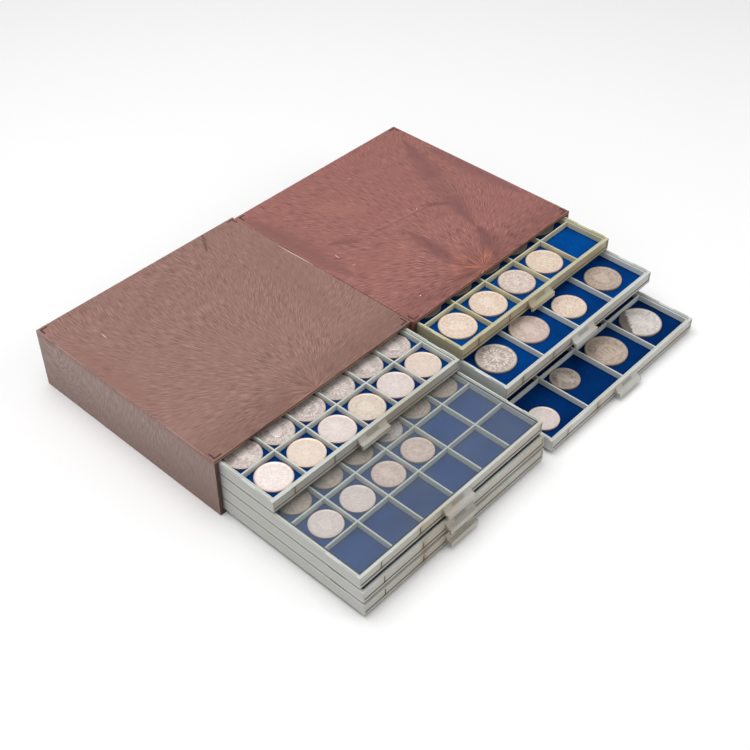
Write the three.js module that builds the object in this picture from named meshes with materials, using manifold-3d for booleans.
/**
 * Coin display set: two open-fronted cases side by side, each holding a stack of four
 * shallow coin drawers that slide out towards the front.
 *
 * Millimetres. +X is to the right, -Y is the way a drawer pulls out, +Z is up.
 * The origin is the middle of the whole set, on the surface that it stands on.
 */
import * as THREE from 'three';
import { mergeVertices } from 'three/addons/utils/BufferGeometryUtils.js';
import Module from 'manifold-3d';

// ---------------------------------------------------------------- driving dimensions

// Case: a four-walled sleeve with a separate panel let into its back
const CASE_WIDTH = 235;
const CASE_DEPTH = 236;
const CASE_HEIGHT = 64;
const CASE_SIDE_WALL = 3.6;
const CASE_ROOF = 3;
const CASE_FLOOR = 3;
const BACK_PANEL = 3.6;
const CASE_SPACING = 0.5; // between the two cases
const RIGHT_CASE_ADVANCE = 3; // the right case stands this far forward of the left one

// L-shaped locating mark in each corner of a case's roof, where another case stacks
const MARK_INSET = 3.2;
const MARK_ARM = 7;
const MARK_WIDTH = 1.4;
const MARK_DEPTH = 0.5;

// Drawer: a moulded tray
const DRAWERS_PER_CASE = 4;
const DRAWER_WIDTH = 224.4;
const DRAWER_DEPTH = 224.6;
const DRAWER_PITCH = 14.4; // from one drawer's underside to the next
const LOWEST_DRAWER_Z = 3.4;
const RIM_HEIGHT = 12.4;
const SIDE_WALL = 2.4;
const FRONT_WALL = 2.6;
const TRAY_FLOOR_BOTTOM = 2.4;
const TRAY_FLOOR_TOP = 4;
const SKIRT = 3; // wall left round the recess under the tray's floor

// Guide lip on top of each side wall, with a low gap in it for the drawer above to catch
const LIP_HEIGHT = 0.9;
const LIP_THICKNESS = 1.4;
const LIP_INSET = 0.3;
const LIP_FRONT = 3.5;
const LIP_GAP_FRONT = 21;
const LIP_GAP_BACK = 36;
const LIP_BACK = 222;
const LIP_RAMP = 1.2;
const LIP_ROOT = 0.4; // how far a lip reaches down into the rim

// Front face: set back between the rim and a ledge, with two upright slots on its left half
const FACE_SETBACK = 0.8;
const LEDGE_TOP = 2.6;
const FACE_TOP = 11.2;
const FACE_END = 1.2;
const SLOT_CENTRES = [24.3, 69.2];
const SLOT_WIDTH = 1.4;
const SLOT_DEPTH = 1;

// Pull handle: its profile from the front face outwards, [forward, height]
const HANDLE_WIDTH = 34;
const HANDLE_PROFILE = [
  [-1.4, 10.2],
  [-0.6, 10.2],
  [2.2, 5.9],
  [4.9, 5.3],
  [5.2, 5.7],
  [5.9, 5.4],
  [5.6, 3.6],
  [6.1, 1.8],
  [5.7, 0.6],
  [4.4, 0.6],
  [3.4, 3.4],
  [-1.4, 4.4],
];

// Velvet base and the grid of compartments that stands on it
const FIELD = 216; // clear width of the grid inside its frame
const GRID_FRAME = 1.5;
const GRID_BAR = 1.5;
const GRID_TOP = 11.5;
const VELVET_BOTTOM = 4.3;
const VELVET_TOP = 5.3;
const SEAT_GAP = 0.3; // between pieces that rest on or beside each other

// Clear cover that lies on the grid inside the rim
const COVER_THICKNESS = 0.6;
const COVER_CLEARANCE = 0.8;

const COIN_SIDES = 32;
const COIN_WANDER = 0.15; // step by which coins of one drawer lie off their common place

// ---------------------------------------------------------------- what is in each drawer

/** Coins that nearly fill their compartments: one in each column named, a little off centre. */
function coinRow(row, columns, { diameter, thickness, right, back }) {
  const wander = (column) => (((column * 7 + row * 3) % 5) - 2) * COIN_WANDER;
  return columns.map((column) => [
    column, row, diameter, thickness, right + wander(column), back - wander(column + 1),
  ]);
}

const LARGE_COIN = { diameter: 32.5, thickness: 2.2, right: 0.4, back: 0.3 };
const SMALL_COIN = { diameter: 29, thickness: 2, right: 1.9, back: 0.3 };
const CROWN_COIN = { diameter: 36, thickness: 2.4, right: 1.8, back: 1.8 };

/**
 * One entry per drawer, top drawer first. out: how far the drawer is pulled. cells: the
 * compartments along each side. coins: [column, row, diameter, thickness, right of centre,
 * back of centre], where row 1 is at the front and column 1 at the left.
 */
const LEFT_DRAWERS = [
  {
    out: 61,
    cells: 6,
    cover: false,
    plastic: 'grey',
    coins: coinRow(1, [1, 2, 3, 4, 5, 6], LARGE_COIN),
  },
  {
    out: 152.5,
    cells: 6,
    cover: true,
    plastic: 'grey',
    coins: [
      ...coinRow(2, [1, 2, 3, 4], SMALL_COIN),
      ...coinRow(3, [1, 2, 3, 4, 5, 6], SMALL_COIN),
    ],
  },
  { out: 156, cells: 6, cover: true, plastic: 'grey', coins: [] },
  { out: 157, cells: 6, cover: true, plastic: 'grey', coins: [] },
];

const RIGHT_DRAWERS = [
  {
    out: 52,
    cells: 5,
    cover: false,
    plastic: 'beige',
    coins: coinRow(1, [1, 2, 3, 4], CROWN_COIN),
  },
  {
    out: 103,
    cells: 4,
    cover: false,
    plastic: 'pale',
    coins: [
      [1, 1, 38, 2.6, -2, 3.8],
      [2, 1, 38, 2.6, -4, 6.4],
      [3, 1, 33.5, 2.4, -6, -1],
      [4, 1, 36.5, 2.6, -3.4, 0],
    ],
  },
  { out: 0, cells: 4, cover: false, plastic: 'pale', coins: [] },
  {
    out: 155.3,
    cells: 4,
    cover: false,
    plastic: 'pale',
    coins: [
      [1, 1, 29, 2.2, -8.8, -5.3],
      [2, 1, 28.5, 2.2, -8, 11.4],
      [3, 1, 40.5, 2.8, -5, 5.4],
      [4, 1, 41, 2.8, -2.2, 5.2],
    ],
  },
];

// ---------------------------------------------------------------- materials

const material = (color, roughness, metalness = 0) =>
  new THREE.MeshStandardMaterial({ color, roughness, metalness });

const MATERIALS = {
  taupeBurl: material(0x967369, 0.55),
  redBurl: material(0x9b645c, 0.5),
  backBoard: material(0x4a3228, 0.8),
  grey: material(0xb4b8b4, 0.45),
  beige: material(0xb9b598, 0.45),
  pale: material(0xc8c9c8, 0.45),
  velvet: material(0x003a80, 0.95),
  clear: new THREE.MeshStandardMaterial({
    color: 0xdfe6ea, roughness: 0.1, metalness: 0, transparent: true, opacity: 0.35,
  }),
  silver: material(0xcfc4bc, 0.35, 0.9),
};

// ---------------------------------------------------------------- solid geometry

const WELD = 1e-4; // vertices this close are one vertex
const PAST = 1; // how far a cut runs past the face it opens

const wasm = await Module();
wasm.setup();

/** A closed three.js geometry as a manifold solid. */
function solid(geometry) {
  const plain = geometry.clone();
  plain.deleteAttribute('normal');
  plain.deleteAttribute('uv');
  const merged = mergeVertices(plain, WELD);
  return new wasm.Manifold(
    new wasm.Mesh({
      numProp: 3,
      vertProperties: new Float32Array(merged.attributes.position.array),
      triVerts: new Uint32Array(merged.index.array),
    }),
  );
}

/** A manifold solid as a three.js geometry. */
function geometryOf(shape) {
  const mesh = shape.getMesh();
  const geometry = new THREE.BufferGeometry();
  geometry.setAttribute('position', new THREE.BufferAttribute(new Float32Array(mesh.vertProperties), 3));
  geometry.setIndex(new THREE.BufferAttribute(new Uint32Array(mesh.triVerts), 1));
  geometry.computeVertexNormals();
  return geometry;
}

/** A block between two opposite corners. */
function block([x0, y0, z0], [x1, y1, z1]) {
  const geometry = new THREE.BoxGeometry(x1 - x0, y1 - y0, z1 - z0);
  return geometry.translate((x0 + x1) / 2, (y0 + y1) / 2, (z0 + z1) / 2);
}

/** A [y, z] outline extruded along X from x0 to x1. */
function extrudeAlongX(outline, x0, x1) {
  const shape = new THREE.Shape(outline.map(([y, z]) => new THREE.Vector2(y, z)));
  const geometry = new THREE.ExtrudeGeometry(shape, { depth: x1 - x0, bevelEnabled: false });
  const turn = new THREE.Matrix4().makeBasis(
    new THREE.Vector3(0, 1, 0),
    new THREE.Vector3(0, 0, 1),
    new THREE.Vector3(1, 0, 0),
  );
  return geometry.applyMatrix4(turn).translate(x0, 0, 0);
}

function named(name, geometry, look) {
  const mesh = new THREE.Mesh(geometry, look);
  mesh.name = name;
  return mesh;
}

// ---------------------------------------------------------------- case

/** The two grooves of one L mark. corner: the L's own corner; sx, sy: the arms' directions. */
function markGrooves([cornerX, cornerY], sx, sy) {
  const half = MARK_WIDTH / 2;
  const bottom = CASE_HEIGHT - MARK_DEPTH;
  const top = CASE_HEIGHT + PAST;
  const span = (centre, sign) => [centre - half * sign, centre + MARK_ARM * sign].sort((a, b) => a - b);
  const [x0, x1] = span(cornerX, sx);
  const [y0, y1] = span(cornerY, sy);
  return [
    block([x0, cornerY - half, bottom], [x1, cornerY + half, top]),
    block([cornerX - half, y0, bottom], [cornerX + half, y1, top]),
  ];
}

/** Four walls open at the front and the back, with locating marks on the roof. */
function caseSleeve() {
  const inside = block(
    [CASE_SIDE_WALL, -PAST, CASE_FLOOR],
    [CASE_WIDTH - CASE_SIDE_WALL, CASE_DEPTH + PAST, CASE_HEIGHT - CASE_ROOF],
  );
  let sleeve = solid(block([0, 0, 0], [CASE_WIDTH, CASE_DEPTH, CASE_HEIGHT])).subtract(solid(inside));
  for (const sx of [1, -1]) {
    for (const sy of [1, -1]) {
      const cornerX = sx > 0 ? MARK_INSET : CASE_WIDTH - MARK_INSET;
      const cornerY = sy > 0 ? MARK_INSET : CASE_DEPTH - MARK_INSET;
      for (const groove of markGrooves([cornerX, cornerY], sx, sy)) {
        sleeve = sleeve.subtract(solid(groove));
      }
    }
  }
  return geometryOf(sleeve);
}

function caseBackPanel() {
  return block(
    [CASE_SIDE_WALL + SEAT_GAP, CASE_DEPTH - BACK_PANEL, CASE_FLOOR + SEAT_GAP],
    [CASE_WIDTH - CASE_SIDE_WALL - SEAT_GAP, CASE_DEPTH, CASE_HEIGHT - CASE_ROOF - SEAT_GAP],
  );
}

// ---------------------------------------------------------------- drawer

/** One run of the guide lip between two places along the side wall, with ramped ends. */
function lipRun(x0, y0, y1) {
  const foot = RIM_HEIGHT - LIP_ROOT;
  const top = RIM_HEIGHT + LIP_HEIGHT;
  const outline = [
    [y0, foot],
    [y1, foot],
    [y1, RIM_HEIGHT],
    [y1 - LIP_RAMP, top],
    [y0 + LIP_RAMP, top],
    [y0, RIM_HEIGHT],
  ];
  return extrudeAlongX(outline, x0, x0 + LIP_THICKNESS);
}

/** The moulded tray: walls, floor, underside recess, front relief, guide lips and handle. */
function drawerTray() {
  const outside = block([0, 0, 0], [DRAWER_WIDTH, DRAWER_DEPTH, RIM_HEIGHT]);
  const pocket = block(
    [SIDE_WALL, FRONT_WALL, TRAY_FLOOR_TOP],
    [DRAWER_WIDTH - SIDE_WALL, DRAWER_DEPTH - SIDE_WALL, RIM_HEIGHT + PAST],
  );
  const underside = block(
    [SKIRT, SKIRT, -PAST],
    [DRAWER_WIDTH - SKIRT, DRAWER_DEPTH - SKIRT, TRAY_FLOOR_BOTTOM],
  );
  const face = block(
    [FACE_END, -PAST, LEDGE_TOP],
    [DRAWER_WIDTH - FACE_END, FACE_SETBACK, FACE_TOP],
  );
  let tray = solid(outside);
  for (const cut of [pocket, underside, face]) {
    tray = tray.subtract(solid(cut));
  }
  for (const centre of SLOT_CENTRES) {
    const slot = block(
      [centre - SLOT_WIDTH / 2, 0, LEDGE_TOP],
      [centre + SLOT_WIDTH / 2, FACE_SETBACK + SLOT_DEPTH, FACE_TOP],
    );
    tray = tray.subtract(solid(slot));
  }
  for (const x0 of [LIP_INSET, DRAWER_WIDTH - LIP_INSET - LIP_THICKNESS]) {
    tray = tray.add(solid(lipRun(x0, LIP_FRONT, LIP_GAP_FRONT)));
    tray = tray.add(solid(lipRun(x0, LIP_GAP_BACK, LIP_BACK)));
  }
  const handleLeft = (DRAWER_WIDTH - HANDLE_WIDTH) / 2;
  const handleOutline = HANDLE_PROFILE.map(([forward, z]) => [-forward, z]).reverse();
  tray = tray.add(solid(extrudeAlongX(handleOutline, handleLeft, handleLeft + HANDLE_WIDTH)));
  return geometryOf(tray);
}

/** Where the clear field of the grid starts, from the drawer's front left bottom corner. */
const FIELD_X = (DRAWER_WIDTH - FIELD) / 2;
const FIELD_Y = FRONT_WALL + SEAT_GAP + GRID_FRAME;

function velvetBase() {
  return block(
    [SIDE_WALL + SEAT_GAP, FRONT_WALL + SEAT_GAP, VELVET_BOTTOM],
    [DRAWER_WIDTH - SIDE_WALL - SEAT_GAP, DRAWER_DEPTH - SIDE_WALL - SEAT_GAP, VELVET_TOP],
  );
}

/** A frame with square compartments, cells by cells of them. */
function compartmentGrid(cells) {
  const bottom = VELVET_TOP + SEAT_GAP;
  const pitch = FIELD / cells;
  const start = (index) => index * pitch + (index > 0 ? GRID_BAR / 2 : 0);
  const end = (index) => (index + 1) * pitch - (index < cells - 1 ? GRID_BAR / 2 : 0);
  let grid = solid(block(
    [-GRID_FRAME, -GRID_FRAME, bottom],
    [FIELD + GRID_FRAME, FIELD + GRID_FRAME, GRID_TOP],
  ));
  for (let column = 0; column < cells; column += 1) {
    for (let row = 0; row < cells; row += 1) {
      const compartment = block(
        [start(column), start(row), bottom - PAST],
        [end(column), end(row), GRID_TOP + PAST],
      );
      grid = grid.subtract(solid(compartment));
    }
  }
  return geometryOf(grid).translate(FIELD_X, FIELD_Y, 0);
}

function coverSheet() {
  const bottom = GRID_TOP + SEAT_GAP;
  return block(
    [SIDE_WALL + COVER_CLEARANCE, FRONT_WALL + COVER_CLEARANCE, bottom],
    [
      DRAWER_WIDTH - SIDE_WALL - COVER_CLEARANCE,
      DRAWER_DEPTH - SIDE_WALL - COVER_CLEARANCE,
      bottom + COVER_THICKNESS,
    ],
  );
}

/** A coin lying on the velvet of one compartment. */
function coin(cells, [column, row, diameter, thickness, right, back]) {
  const pitch = FIELD / cells;
  const radius = diameter / 2;
  const geometry = new THREE.CylinderGeometry(radius, radius, thickness, COIN_SIDES);
  geometry.rotateX(Math.PI / 2);
  return geometry.translate(
    FIELD_X + (column - 0.5) * pitch + right,
    FIELD_Y + (row - 0.5) * pitch + back,
    VELVET_TOP + SEAT_GAP + thickness / 2,
  );
}

/** A drawer with everything in it, its front left bottom corner at the group's origin. */
function drawer(name, { cells, cover, plastic, coins }) {
  const group = new THREE.Group();
  group.add(named(`${name}_tray`, drawerTray(), MATERIALS[plastic]));
  group.add(named(`${name}_velvet`, velvetBase(), MATERIALS.velvet));
  group.add(named(`${name}_grid`, compartmentGrid(cells), MATERIALS[plastic]));
  if (cover) {
    group.add(named(`${name}_cover`, coverSheet(), MATERIALS.clear));
  }
  for (const entry of coins) {
    const [column, row] = entry;
    group.add(named(`${name}_coin_row${row}_col${column}`, coin(cells, entry), MATERIALS.silver));
  }
  return group;
}

// ---------------------------------------------------------------- the whole set

/** A case with its four drawers, the case's front left bottom corner at the group's origin. */
function caseWithDrawers(side, burl, drawers) {
  const group = new THREE.Group();
  group.add(named(`${side}_case_sleeve`, caseSleeve(), burl));
  group.add(named(`${side}_case_back_panel`, caseBackPanel(), MATERIALS.backBoard));
  drawers.forEach((contents, index) => {
    const unit = drawer(`${side}_drawer_${index + 1}`, contents);
    unit.position.set(
      (CASE_WIDTH - DRAWER_WIDTH) / 2,
      -contents.out,
      LOWEST_DRAWER_Z + (DRAWERS_PER_CASE - 1 - index) * DRAWER_PITCH,
    );
    group.add(unit);
  });
  return group;
}

const handleReach = Math.max(...HANDLE_PROFILE.map(([forward]) => forward));
const frontmost = Math.max(
  ...LEFT_DRAWERS.map(({ out }) => out),
  ...RIGHT_DRAWERS.map(({ out }) => out + RIGHT_CASE_ADVANCE),
) + handleReach;

const set = new THREE.Group();
const left = caseWithDrawers('left', MATERIALS.taupeBurl, LEFT_DRAWERS);
const right = caseWithDrawers('right', MATERIALS.redBurl, RIGHT_DRAWERS);
left.position.set(-CASE_WIDTH - CASE_SPACING / 2, 0, 0);
right.position.set(CASE_SPACING / 2, -RIGHT_CASE_ADVANCE, 0);
set.add(left, right);
set.position.y = (frontmost - CASE_DEPTH) / 2;
set.updateMatrixWorld(true);

export default set;
